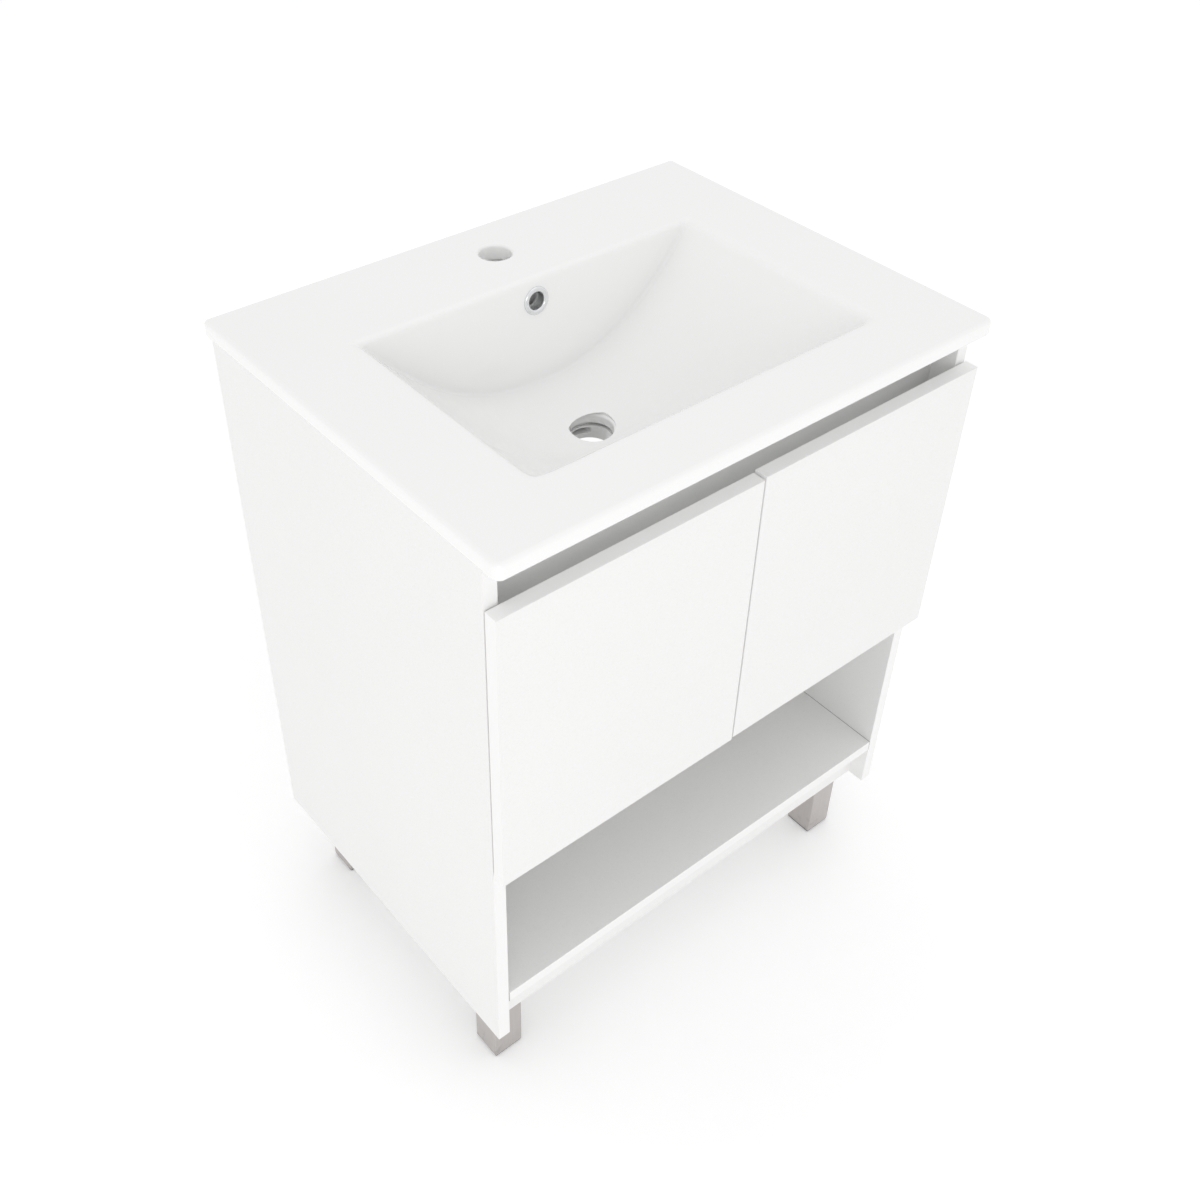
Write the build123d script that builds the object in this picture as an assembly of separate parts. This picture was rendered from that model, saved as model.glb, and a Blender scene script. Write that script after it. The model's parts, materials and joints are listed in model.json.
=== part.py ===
from build123d import *
import math
import os

# Bathroom vanity cabinet: a ceramic basin top on a two-door cabinet with an open niche, a set-back
# plinth and four square legs. Millimetres, +X to the right, +Y to the wall, +Z up.
# The origin is on the floor, under the centre of the basin top.

os.makedirs("parts", exist_ok=True)

# ---- overall sizes ----
TOP_WIDTH = 610.0
TOP_DEPTH = 470.0
TOTAL_HEIGHT = 800.0
SIDE_OVERHANG = 1.5
CABINET_FRONT_SETBACK = 22.0
CABINET_BACK_SETBACK = 11.0
UNDER_CLEARANCE = 108.0
BOARD = 15.0

# ---- basin ----
DECK_THICKNESS = 17.0
FRONT_CORNER_RADIUS = 8.0
BACK_CORNER_RADIUS = 3.0
DECK_EDGE_RADIUS = 4.5
DECK_UNDER_RADIUS = 1.5
BOWL_HALF_WIDTH = 213.5
BOWL_FRONT_LEDGE = 73.0
BOWL_BACK_LEDGE = 127.5
BOWL_DEPTH = 136.0
CREASE_DEPTH = 118.0
BACK_WALL_TILT = 5.0
SCOOP_POWER = 2.3
FRONT_POWER = 1.9
CERAMIC_WALL = 11.0
SCOOP_RUN_OUT = 12.0
SCOOP_STATIONS = (0.3, 0.55, 0.75, 0.9, 0.985)
SCOOP_POINT_POWER = 1.3
DRAIN_RADIUS = 23.0
DRAIN_TO_CREASE = 85.0
DRAIN_FLAT = 26.0
BOSS_RADIUS = 36.0
BOSS_DROP = 16.0
TAP_HOLE_RADIUS = 17.5
TAP_HOLE_BACK = 61.0
OVERFLOW_DROP = 26.5
OVERFLOW_HOLE_RADIUS = 11.2
OVERFLOW_RING_RADIUS = 15.4
OVERFLOW_BORE_RADIUS = 9.4
OVERFLOW_RING_PROUD = 2.6
OVERFLOW_BARREL = 9.0
DUCT_HALF_WIDTH = 27.0
DUCT_BORE_HALF_WIDTH = 16.0
DUCT_BORE_DEPTH = 10.0
DUCT_FLOOR = 6.0
DUCT_CROSS_HEIGHT = 8.0
DUCT_ROOF = 2.0
OVERFLOW_HOLE_PAST_WALL = 8.0
SILICONE = 1.0
SILICONE_LENGTH = 70.0

# ---- cabinet ----
FINGER_GAP = 43.0
DOOR_BOARD = 15.0
DOOR_HEIGHT = 342.0
DOOR_GAP_BEHIND = 2.0
DOOR_SPLIT = 1.8
RIGHT_DOOR_LIFT = 2.5
DOOR_EDGE_EASE = 0.8
BOARD_EDGE_EASE = 0.6
DECK_BELOW_DOOR_EDGE = 2.0
SHELF_TOP = 183.0
FRONT_RAIL_SETBACK = 28.0
RAIL_HEIGHT = 80.0
PLINTH_SETBACK = 22.0
WALL_HOLE_RADIUS = 4.0
WALL_HOLE_SPACING = 460.0

# ---- legs ----
LEG_SIZE = 38.0
LEG_WALL = 1.5
LEG_EDGE_RADIUS = 1.2
FRONT_LEG_INSET = 5.5
REAR_LEG_INSET = 16.5
LEG_PLATE = 3.0
LEG_SCREW_FROM_SIDE = 6.0
GLIDE_FOOT = 3.0
GLIDE_PLUG = 9.0
GLIDE_CLEARANCE = 0.2

# ---- board fittings ----
CAM_RADIUS = 7.5
CAM_HEIGHT = 12.0
CAM_FROM_END = 34.0
FITTING_FROM_EDGE = 95.0
DOWEL_FROM_BOLT = 32.0
CAM_BOLT_RADIUS = 3.0
CAM_BOLT_IN_PANEL = 10.5
DOWEL_RADIUS = 4.0
DOWEL_IN_PANEL = 10.0
DOWEL_IN_BOARD = 20.0
FIT = 0.1

# ---- concealed hinges, in plan: along the door from its outer edge, and out from the door's back ----
HINGE_FROM_DOOR_END = 72.0
AXIS_IN = 5.7
AXIS_OUT = 10.7
CUP_RADIUS = 17.5
CUP_WALL = 1.0
CUP_DEPTH = 12.0
CUP_EDGE_MARGIN = 4.5
CUP_FLANGE = 1.2
CUP_FLANGE_PAST_SCREW = 6.0
CUP_FLANGE_WIDTH = 15.0
CUP_SCREW_FROM_CUP = 6.5
LINK_FIXED_PIN = (32.9, -6.4)
LINK_KNEE = (15.8, -8.9)
LINK_CUP_PIN = (8.8, -6.2)
LINK_THICKNESS = 2.0
LINK_HALF_WIDTH = 4.8
LINK_EYE_RADIUS = 2.0
LINK_OPEN_GAP = 2.1
LINK_PIN_RADIUS = 1.0
PIN_CLEARANCE = 0.05
ARM_HALF_WIDTH = 7.0
ARM_WALL = 1.2
ARM_LENGTH = 55.0
ARM_TIP_RADIUS = 2.6
ARM_CHEEK_START = 6.0
ARM_BASE_START = 20.0
ARM_SCREW_FROM_BACK = 14.0
PLATE_START = 20.0
PLATE_LENGTH = 40.0
PLATE_HEIGHT = 52.0
PLATE_THICKNESS = 3.0
PLATE_SCREW_SPACING = 32.0
PLATE_CORNER_RADIUS = 6.0
SCREW_RADIUS = 1.8
SCREW_HEAD_RADIUS = 3.4
SCREW_HEAD = 1.6
SCREW_LENGTH = 11.0
BUMPER_RADIUS = 4.0
BUMPER_THICKNESS = 1.7
BUMPER_FROM_SIDE = 60.0
BUMPER_FROM_SPLIT = 30.0

# ---- sizes that follow ----
HALF_TOP = TOP_WIDTH / 2
TOP_FRONT = -TOP_DEPTH / 2
TOP_BACK = TOP_DEPTH / 2
DECK_UNDER = TOTAL_HEIGHT - DECK_THICKNESS
PANEL_TOP = DECK_UNDER - SILICONE
PANEL_FRONT = TOP_FRONT + CABINET_FRONT_SETBACK
PANEL_BACK = TOP_BACK - CABINET_BACK_SETBACK
PANEL_OUTER = HALF_TOP - SIDE_OVERHANG
PANEL_INNER = PANEL_OUTER - BOARD
BOARDS_BACK = PANEL_BACK - BOARD
SHELF_UNDER = SHELF_TOP - BOARD
DOOR_TOP = DECK_UNDER - FINGER_GAP
DOOR_BOTTOM = DOOR_TOP - DOOR_HEIGHT
DOOR_BACK = PANEL_FRONT - DOOR_GAP_BEHIND
DECK_BOARD_UNDER = DOOR_BOTTOM + DECK_BELOW_DOOR_EDGE
DECK_BOARD_TOP = DECK_BOARD_UNDER + BOARD
FRONT_RAIL_FRONT = PANEL_FRONT + FRONT_RAIL_SETBACK
PLINTH_FRONT = PANEL_FRONT + PLINTH_SETBACK
PLINTH_BACK = PLINTH_FRONT + BOARD
REAR_PLINTH_FRONT = BOARDS_BACK - BOARD
BOWL_FRONT = TOP_FRONT + BOWL_FRONT_LEDGE
BOWL_BACK = TOP_BACK - BOWL_BACK_LEDGE
CREASE_Y = BOWL_BACK - CREASE_DEPTH * math.tan(math.radians(BACK_WALL_TILT))
DRAIN_Y = CREASE_Y - DRAIN_TO_CREASE
FLOOR_FRONT = DRAIN_Y - DRAIN_FLAT
LEG_TOP = SHELF_UNDER - LEG_PLATE
LEG_SCREW_SPACING = LEG_SIZE - 2 * LEG_SCREW_FROM_SIDE
CUP_FROM_EDGE = CUP_RADIUS + CUP_EDGE_MARGIN
CUP_SCREW_SPACING = 2 * (CUP_RADIUS + CUP_SCREW_FROM_CUP)
CUP_FLANGE_HEIGHT = CUP_SCREW_SPACING + 2 * CUP_FLANGE_PAST_SCREW


def block(x0, x1, y0, y1, z0, z1):
    """A box between two corners."""
    box = Box(abs(x1 - x0), abs(y1 - y0), abs(z1 - z0))
    return Pos((x0 + x1) / 2, (y0 + y1) / 2, (z0 + z1) / 2) * box


def rod(start, direction, length, radius):
    """A round bar from start along direction."""
    plane = Plane(origin=start, z_dir=direction)
    return plane * Cylinder(radius, length, align=(Align.CENTER, Align.CENTER, Align.MIN))


def join(shapes):
    """Separate solids kept as one group."""
    return Compound(children=[solid for shape in shapes for solid in shape.solids()])


def save(name, shape):
    export_step(shape, f"parts/{name}.step")


def mirrored(shape):
    return mirror(shape, about=Plane.YZ)


# ---- basin top ----


def floor_depth(y, wall=0.0):
    """Depth under the deck of the scoop's floor on the centre line at y, or of the ceramic's underside."""
    deepest = BOWL_DEPTH + wall
    if y >= FLOOR_FRONT:
        fall = (BOWL_DEPTH - CREASE_DEPTH) / (CREASE_Y - FLOOR_FRONT)
        return deepest - (y - FLOOR_FRONT) * fall
    share = (FLOOR_FRONT - y) / (FLOOR_FRONT - BOWL_FRONT + wall)
    return deepest * (1 - share**FRONT_POWER)


def scoop_section(y, half_width, depth):
    """The scoop's outline across the basin at y: a soft arch hung from the rim, closed above it."""
    steps = 8
    points = []
    for i in range(-steps, steps + 1):
        across = math.copysign(1 - (1 - abs(i) / steps) ** SCOOP_POINT_POWER, i)
        points.append((across * half_width, -depth * (1 - abs(across) ** SCOOP_POWER)))
    plane = Plane(origin=(0, y, TOTAL_HEIGHT), x_dir=(1, 0, 0), z_dir=(0, -1, 0))
    arch = Spline(*points)
    lid = Polyline(points[-1], (half_width, DECK_THICKNESS), (-half_width, DECK_THICKNESS), points[0])
    return plane * make_face(arch + lid)


def scoop(wall=0.0):
    """The space of the bowl, or with a wall the ceramic's outside round it."""
    back = BOWL_BACK + wall
    stations = [back + SCOOP_RUN_OUT, CREASE_Y, FLOOR_FRONT]
    reach = FLOOR_FRONT - BOWL_FRONT + wall
    for share in SCOOP_STATIONS:
        stations.append(FLOOR_FRONT - share * reach)
    sections = []
    for y in stations:
        sections.append(scoop_section(y, BOWL_HALF_WIDTH + wall, floor_depth(y, wall)))
    body = loft(sections)
    lean = Rot(X=BACK_WALL_TILT) * block(-HALF_TOP, HALF_TOP, -TOP_DEPTH, 0, -2 * BOWL_DEPTH, BOWL_DEPTH)
    return body & Pos(0, back, TOTAL_HEIGHT) * lean


def basin():
    deck = block(-HALF_TOP, HALF_TOP, TOP_FRONT, TOP_BACK, DECK_UNDER, TOTAL_HEIGHT)
    corners = deck.edges().filter_by(Axis.Z).sort_by(Axis.Y)
    deck = fillet(corners[:2], FRONT_CORNER_RADIUS)
    corners = deck.edges().filter_by(Axis.Z).sort_by(Axis.Y)
    deck = fillet(corners[-2:], BACK_CORNER_RADIUS)
    deck = fillet(deck.faces().sort_by(Axis.Z)[-1].edges(), DECK_EDGE_RADIUS)
    deck = fillet(deck.faces().sort_by(Axis.Z)[0].edges(), DECK_UNDER_RADIUS)

    shell = scoop(CERAMIC_WALL)
    shell &= block(-HALF_TOP, HALF_TOP, TOP_FRONT, TOP_BACK, 0, DECK_UNDER + 1)
    drain_z = TOTAL_HEIGHT - floor_depth(DRAIN_Y)
    boss_under = TOTAL_HEIGHT - BOWL_DEPTH - CERAMIC_WALL - BOSS_DROP
    boss = rod((0, DRAIN_Y, boss_under), (0, 0, 1), drain_z - boss_under + 1, BOSS_RADIUS)
    duct_back = BOWL_BACK + CERAMIC_WALL + DUCT_BORE_DEPTH + CERAMIC_WALL
    duct = block(-DUCT_HALF_WIDTH, DUCT_HALF_WIDTH, DRAIN_Y, duct_back, boss_under, DECK_UNDER + 1)
    front_of_duct = block(
        -DUCT_HALF_WIDTH, DUCT_HALF_WIDTH, DRAIN_Y, CREASE_Y, boss_under + 2 * BOSS_DROP, DECK_UNDER + 2
    )
    duct -= front_of_duct
    body = deck + shell + boss + duct

    body -= scoop()
    body -= rod((0, DRAIN_Y, boss_under - 1), (0, 0, 1), BOWL_DEPTH, DRAIN_RADIUS)
    tap_y = TOP_BACK - TAP_HOLE_BACK
    body -= rod((0, tap_y, DECK_UNDER - 1), (0, 0, 1), DECK_THICKNESS + 2, TAP_HOLE_RADIUS)

    centre, out = overflow_place()
    inward = -out
    bore_front = BOWL_BACK + CERAMIC_WALL
    reach = CERAMIC_WALL + OVERFLOW_HOLE_PAST_WALL
    body -= rod(centre + out * reach, inward, 2 * reach, OVERFLOW_HOLE_RADIUS)
    cross_low = boss_under + DUCT_FLOOR
    down_bore = block(
        -DUCT_BORE_HALF_WIDTH,
        DUCT_BORE_HALF_WIDTH,
        bore_front,
        bore_front + DUCT_BORE_DEPTH,
        cross_low,
        DECK_UNDER - DUCT_ROOF,
    )
    cross_bore = block(
        -DUCT_BORE_HALF_WIDTH,
        DUCT_BORE_HALF_WIDTH,
        DRAIN_Y,
        bore_front + DUCT_BORE_DEPTH,
        cross_low,
        cross_low + DUCT_CROSS_HEIGHT,
    )
    body -= down_bore
    body -= cross_bore
    return body


def overflow_place():
    """Centre of the overflow on the back wall, and the direction that it faces."""
    tilt = math.radians(BACK_WALL_TILT)
    y = BOWL_BACK - OVERFLOW_DROP * math.tan(tilt)
    return Vector(0, y, TOTAL_HEIGHT - OVERFLOW_DROP), Vector(0, -math.cos(tilt), math.sin(tilt))


def overflow_ring():
    """A pressed ring: a domed flange on the ceramic and a barrel in its hole."""
    centre, out = overflow_place()
    flange = rod(centre, out, OVERFLOW_RING_PROUD, OVERFLOW_RING_RADIUS)
    rims = flange.edges().filter_by(GeomType.CIRCLE).sort_by(Axis.Y)
    flange = fillet(rims[0], OVERFLOW_RING_PROUD / 2)
    barrel = rod(centre, -out, OVERFLOW_BARREL, OVERFLOW_HOLE_RADIUS - FIT)
    bore = rod(centre + out * 2 * OVERFLOW_RING_PROUD, -out, 4 * OVERFLOW_BARREL, OVERFLOW_BORE_RADIUS)
    return flange + barrel - bore


# ---- boards ----


def screw(head_top, direction, length=SCREW_LENGTH):
    """A countersunk-flat wood screw: its head's outside at head_top, driven along direction."""
    direction = Vector(direction)
    head = rod(head_top, direction, SCREW_HEAD, SCREW_HEAD_RADIUS)
    return head + rod(head_top, direction, length + SCREW_HEAD, SCREW_RADIUS)


def screw_hole(head_top, direction, length=SCREW_LENGTH):
    direction = Vector(direction)
    return rod(head_top, direction, length + SCREW_HEAD + FIT, SCREW_RADIUS + FIT)


# Each board is held to the side panels by cam bolts and dowels: where they lie, for the left end.
LYING = {
    "deck_panel": (DECK_BOARD_UNDER, BOARDS_BACK),
    "bottom_shelf": (SHELF_UNDER, BOARDS_BACK),
}
cams = []
cam_bolts = []
dowels = []
panel_cuts = []
board_cuts = {}


def fasten(name, bolt_place, dowel_place, cam_from):
    """A cam bolt and a dowel at the left end of a board, and the same at its right end."""
    cuts = []
    for side in (-1, 1):
        inner = side * PANEL_INNER
        into_panel = (side, 0, 0)
        into_board = (-side, 0, 0)
        start = (inner + side * CAM_BOLT_IN_PANEL, *bolt_place)
        reach = CAM_BOLT_IN_PANEL + CAM_FROM_END - CAM_RADIUS
        cam_bolts.append(rod(start, into_board, reach, CAM_BOLT_RADIUS))
        panel_cuts.append(rod((inner, *bolt_place), into_panel, CAM_BOLT_IN_PANEL + FIT, CAM_BOLT_RADIUS + FIT))
        cuts.append(rod((inner, *bolt_place), into_board, CAM_FROM_END, CAM_BOLT_RADIUS + FIT))
        cam_axis = Vector(cam_from[0])
        cam_start = Vector(inner - side * CAM_FROM_END, *cam_from[1])
        cams.append(rod(cam_start, cam_axis, CAM_HEIGHT, CAM_RADIUS))
        cuts.append(rod(cam_start, cam_axis, CAM_HEIGHT + FIT, CAM_RADIUS + FIT))
        start = (inner + side * DOWEL_IN_PANEL, *dowel_place)
        dowels.append(rod(start, into_board, DOWEL_IN_PANEL + DOWEL_IN_BOARD, DOWEL_RADIUS))
        panel_cuts.append(rod((inner, *dowel_place), into_panel, DOWEL_IN_PANEL + FIT, DOWEL_RADIUS + FIT))
        cuts.append(rod((inner, *dowel_place), into_board, DOWEL_IN_BOARD + FIT, DOWEL_RADIUS + FIT))
    board_cuts.setdefault(name, []).extend(cuts)


for name, (under, back) in LYING.items():
    middle = under + BOARD / 2
    for y, step in ((PANEL_FRONT + FITTING_FROM_EDGE, 1), (back - FITTING_FROM_EDGE, -1)):
        fasten(name, (y, middle), (y + step * DOWEL_FROM_BOLT, middle), ((0, 0, 1), (y, under)))

# Standing boards: front face, lower edge, upper edge and the side that their cams open to.
STANDING = {
    "top_front_rail": (FRONT_RAIL_FRONT, PANEL_TOP - RAIL_HEIGHT, PANEL_TOP, 1),
    "rear_top_rail": (BOARDS_BACK, PANEL_TOP - RAIL_HEIGHT, PANEL_TOP, -1),
    "niche_back_panel": (BOARDS_BACK, SHELF_UNDER, DECK_BOARD_TOP, 1),
    "front_plinth_rail": (PLINTH_FRONT, UNDER_CLEARANCE, SHELF_UNDER, 1),
    "rear_plinth_rail": (REAR_PLINTH_FRONT, UNDER_CLEARANCE, SHELF_UNDER, 1),
}
for name, (front, low, high, open_side) in STANDING.items():
    y = front + BOARD / 2
    face = front + BOARD if open_side > 0 else front
    bolt_z = (low + high) / 2 + DOWEL_FROM_BOLT / 4
    dowel_z = bolt_z - DOWEL_FROM_BOLT / 2
    fasten(name, (y, bolt_z), (y, dowel_z), ((0, -open_side, 0), (face, bolt_z)))


def side_panel():
    """The right side panel; the left one is its mirror image."""
    panel = block(PANEL_INNER, PANEL_OUTER, PANEL_FRONT, PANEL_BACK, UNDER_CLEARANCE, PANEL_TOP)
    return fillet(panel.edges(), BOARD_EDGE_EASE)


def cross_board(front, back, low, high):
    """A board between the side panels, with its long edges eased."""
    board = block(-PANEL_INNER, PANEL_INNER, front, back, low, high)
    return fillet(board.edges().filter_by(Axis.X), BOARD_EDGE_EASE)


def cut(shape, tools):
    for tool in tools:
        shape -= tool
    return shape


# ---- legs ----


def leg_places():
    """Name and outer corner of each leg: its outer side, and its front or back face."""
    front_x = PANEL_INNER - FRONT_LEG_INSET
    rear_x = PANEL_INNER - REAR_LEG_INSET
    places = {}
    for side, label in ((-1, "left"), (1, "right")):
        places[f"front_{label}_leg"] = (side * (front_x - LEG_SIZE / 2), PLINTH_BACK + LEG_SIZE / 2)
        places[f"rear_{label}_leg"] = (side * (rear_x - LEG_SIZE / 2), REAR_PLINTH_FRONT - LEG_SIZE / 2)
    return places


def tube_block(x, y, size, z0, z1):
    return block(x - size / 2, x + size / 2, y - size / 2, y + size / 2, z0, z1)


def leg(x, y):
    outside = tube_block(x, y, LEG_SIZE, GLIDE_FOOT, LEG_TOP)
    outside = fillet(outside.edges().filter_by(Axis.Z), LEG_EDGE_RADIUS)
    return outside - tube_block(x, y, LEG_SIZE - 2 * LEG_WALL, GLIDE_FOOT - 1, LEG_TOP + 1)


def glide(x, y):
    foot = tube_block(x, y, LEG_SIZE - 2 * LEG_EDGE_RADIUS, 0, GLIDE_FOOT)
    plug = tube_block(x, y, LEG_SIZE - 2 * LEG_WALL - 2 * GLIDE_CLEARANCE, GLIDE_FOOT, GLIDE_FOOT + GLIDE_PLUG)
    return foot + plug


def leg_screw_places(x, y):
    reach = LEG_SCREW_SPACING / 2
    return [(x + i * reach, y + j * reach) for i in (-1, 1) for j in (-1, 1)]


# ---- concealed hinges ----


class Hinge:
    """Places on one door: side is -1 for the left door, 1 for the right; levels are the hinge heights."""

    def __init__(self, side):
        self.side = side
        lift = RIGHT_DOOR_LIFT if side > 0 else 0.0
        self.door_low = DOOR_BOTTOM + lift
        self.door_high = DOOR_TOP + lift
        self.levels = (self.door_low + HINGE_FROM_DOOR_END, self.door_high - HINGE_FROM_DOOR_END)

    def at(self, place, z):
        """A place in plan (in from the door's outer edge, behind the door's back) at height z."""
        return (self.side * (PANEL_OUTER - place[0]), DOOR_BACK + place[1], z)

    def box(self, x0, x1, y0, y1, z0, z1):
        a = self.at((x0, y0), z0)
        b = self.at((x1, y1), z1)
        return block(min(a[0], b[0]), max(a[0], b[0]), a[1], b[1], z0, z1)

    def pin(self, place, z, half_length, radius):
        return rod(self.at(place, z - half_length), (0, 0, 1), 2 * half_length, radius)

    def bar(self, start, end, z0, z1, half_thickness):
        """A flat bar with round ends between two places in plan."""
        a = Vector(self.at(start, z0))
        b = Vector(self.at(end, z0))
        run = b - a
        middle = (a + b) * 0.5
        plane = Plane(origin=middle, x_dir=run, z_dir=(0, 0, 1))
        web = plane * Box(run.length, 2 * half_thickness, z1 - z0, align=(Align.CENTER, Align.CENTER, Align.MIN))
        for end_point in (a, b):
            web += rod(end_point, (0, 0, 1), z1 - z0, half_thickness)
        return web

    def grouped(self, make):
        """The same piece at the lower and the upper hinge."""
        return join([make(z) for z in self.levels])

    def cup(self, z):
        outside = rod(self.at((CUP_FROM_EDGE, 0), z), (0, -1, 0), CUP_DEPTH, CUP_RADIUS)
        flange = rod(self.at((CUP_FROM_EDGE, 0), z), (0, 1, 0), CUP_FLANGE, CUP_RADIUS + 1)
        wing = self.box(
            CUP_FROM_EDGE - CUP_FLANGE_WIDTH / 2,
            CUP_FROM_EDGE + CUP_FLANGE_WIDTH / 2,
            0,
            CUP_FLANGE,
            z - CUP_FLANGE_HEIGHT / 2,
            z + CUP_FLANGE_HEIGHT / 2,
        )
        shape = outside + flange + wing - self.cup_space(z, 0)
        for hole in self.cup_screws(z, screw_hole):
            shape -= hole
        return shape

    def cup_space(self, z, clearance):
        start = self.at((CUP_FROM_EDGE, CUP_WALL - CUP_DEPTH), z)
        return rod(start, (0, 1, 0), 2 * CUP_DEPTH, CUP_RADIUS - CUP_WALL - clearance)

    def cup_pocket(self, z):
        return rod(self.at((CUP_FROM_EDGE, FIT), z), (0, -1, 0), CUP_DEPTH + 2 * FIT, CUP_RADIUS + FIT)

    def cup_screws(self, z, make):
        made = []
        for step in (-1, 1):
            place = self.at((CUP_FROM_EDGE, CUP_FLANGE + SCREW_HEAD), z + step * CUP_SCREW_SPACING / 2)
            made.append(make(place, (0, -1, 0)))
        return made

    def cup_pin(self, z):
        return self.pin(LINK_CUP_PIN, z, CUP_RADIUS, LINK_PIN_RADIUS) & self.cup_space(z, PIN_CLEARANCE)

    def plate(self, z):
        shape = self.box(
            BOARD,
            BOARD + PLATE_THICKNESS,
            PLATE_START,
            PLATE_START + PLATE_LENGTH,
            z - PLATE_HEIGHT / 2,
            z + PLATE_HEIGHT / 2,
        )
        standing = shape.edges().filter_by(Axis.X)
        shape = fillet(standing, PLATE_CORNER_RADIUS)
        for hole in self.plate_screws(z, screw_hole):
            shape -= hole
        return shape

    def plate_screws(self, z, make):
        made = []
        for step in (-1, 1):
            place = self.at(
                (BOARD + PLATE_THICKNESS + SCREW_HEAD, PLATE_START + PLATE_LENGTH / 2),
                z + step * PLATE_SCREW_SPACING / 2,
            )
            made.append(make(place, (self.side, 0, 0)))
        return made

    def arm(self, z):
        """A channel on the mounting plate whose two cheeks hold the fixed pin."""
        inside = ARM_HALF_WIDTH - ARM_WALL
        back = ARM_CHEEK_START + ARM_LENGTH
        near = LINK_FIXED_PIN[0] - ARM_TIP_RADIUS
        shape = self.box(self.arm_web(), self.arm_face(), ARM_CHEEK_START, back, z - inside, z + inside)
        for low in (z - ARM_HALF_WIDTH, z + inside):
            high = low + ARM_WALL
            neck = (LINK_FIXED_PIN[0], ARM_CHEEK_START + ARM_TIP_RADIUS)
            shape += self.bar(LINK_FIXED_PIN, neck, low, high, ARM_TIP_RADIUS)
            shape += self.box(near, self.arm_face(), ARM_CHEEK_START, ARM_BASE_START, low, high)
            shape += self.box(BOARD + PLATE_THICKNESS, self.arm_face(), ARM_BASE_START, back, low, high)
        shape -= self.pin(LINK_FIXED_PIN, z, 2 * ARM_HALF_WIDTH, LINK_PIN_RADIUS + PIN_CLEARANCE)
        return shape - self.arm_screw(z, FIT)

    def arm_web(self):
        """The inner face of the arm's web, in from the door's outer edge."""
        return LINK_FIXED_PIN[0] + ARM_TIP_RADIUS

    def arm_face(self):
        return self.arm_web() + ARM_WALL

    def arm_screw(self, z, clearance=0.0):
        """The screw that clamps the arm to its plate, or with a clearance its hole in the web."""
        y = ARM_CHEEK_START + ARM_LENGTH - ARM_SCREW_FROM_BACK
        head_face = self.arm_face() + SCREW_HEAD
        toward_panel = (self.side, 0, 0)
        length = head_face - BOARD - PLATE_THICKNESS
        shank = rod(self.at((head_face, y), z), toward_panel, length, SCREW_RADIUS + clearance)
        if clearance:
            return shank
        return shank + rod(self.at((head_face, y), z), toward_panel, SCREW_HEAD, SCREW_HEAD_RADIUS)

    def arm_pin(self, z):
        return self.pin(LINK_FIXED_PIN, z, ARM_HALF_WIDTH, LINK_PIN_RADIUS)

    def link(self, z):
        """A cranked link from its fixed pin to just short of the pin in the cup."""
        low = z - LINK_HALF_WIDTH
        high = z + LINK_HALF_WIDTH
        along = (Vector(*LINK_CUP_PIN) - Vector(*LINK_KNEE)).normalized()
        end = Vector(*LINK_CUP_PIN) - along * (LINK_PIN_RADIUS + LINK_OPEN_GAP + LINK_THICKNESS / 2)
        shape = self.bar(LINK_FIXED_PIN, LINK_KNEE, low, high, LINK_THICKNESS / 2)
        shape += self.bar(LINK_KNEE, (end.X, end.Y), low, high, LINK_THICKNESS / 2)
        shape += self.pin(LINK_FIXED_PIN, z, LINK_HALF_WIDTH, LINK_EYE_RADIUS)
        return shape - self.pin(LINK_FIXED_PIN, z, CUP_RADIUS, LINK_PIN_RADIUS + PIN_CLEARANCE)

    def panel_holes(self):
        return [hole for z in self.levels for hole in self.plate_screws(z, screw_hole)]

    def bumper_places(self):
        z = (DECK_BOARD_UNDER + DECK_BOARD_TOP) / 2
        from_edge = (BUMPER_FROM_SIDE, PANEL_OUTER - BUMPER_FROM_SPLIT)
        return [self.at((x, 0), z) for x in from_edge]

    def bumpers(self):
        return join([rod(p, (0, 1, 0), BUMPER_THICKNESS, BUMPER_RADIUS) for p in self.bumper_places()])

    def door(self):
        width_end = PANEL_OUTER - DOOR_SPLIT / 2
        shape = self.box(0, width_end, -DOOR_BOARD, 0, self.door_low, self.door_high)
        shape = fillet(shape.faces().sort_by(Axis.Y)[0].edges(), DOOR_EDGE_EASE)
        for z in self.levels:
            shape -= self.cup_pocket(z)
            for hole in self.cup_screws(z, screw_hole):
                shape -= hole
        return shape


# ---- writing every piece ----

save("basin_top", basin())
save("overflow_ring", overflow_ring())

pads = []
for side in (-1, 1):
    for y in (PANEL_FRONT + SILICONE_LENGTH, PANEL_BACK - SILICONE_LENGTH):
        x = side * (PANEL_OUTER + PANEL_INNER) / 2
        half = SILICONE_LENGTH / 2
        pads.append(block(x - BOARD / 3, x + BOARD / 3, y - half, y + half, PANEL_TOP, DECK_UNDER))
save("basin_silicone", join(pads))

hinges = {"left": Hinge(-1), "right": Hinge(1)}
right_panel = side_panel()
for label, side in (("left", -1), ("right", 1)):
    panel = right_panel if side > 0 else mirrored(right_panel)
    own = [tool for tool in panel_cuts if side * tool.center().X > 0]
    save(f"{label}_side_panel", cut(panel, own + hinges[label].panel_holes()))

LEG_PLACES = leg_places()
shelf_screws = []
for x, y in LEG_PLACES.values():
    for sx, sy in leg_screw_places(x, y):
        shelf_screws.append((sx, sy, LEG_TOP - SCREW_HEAD))

for name, (under, back) in LYING.items():
    board = cut(cross_board(PANEL_FRONT, back, under, under + BOARD), board_cuts[name])
    if name == "bottom_shelf":
        board = cut(board, [screw_hole(place, (0, 0, 1)) for place in shelf_screws])
    save(name, board)

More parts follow.
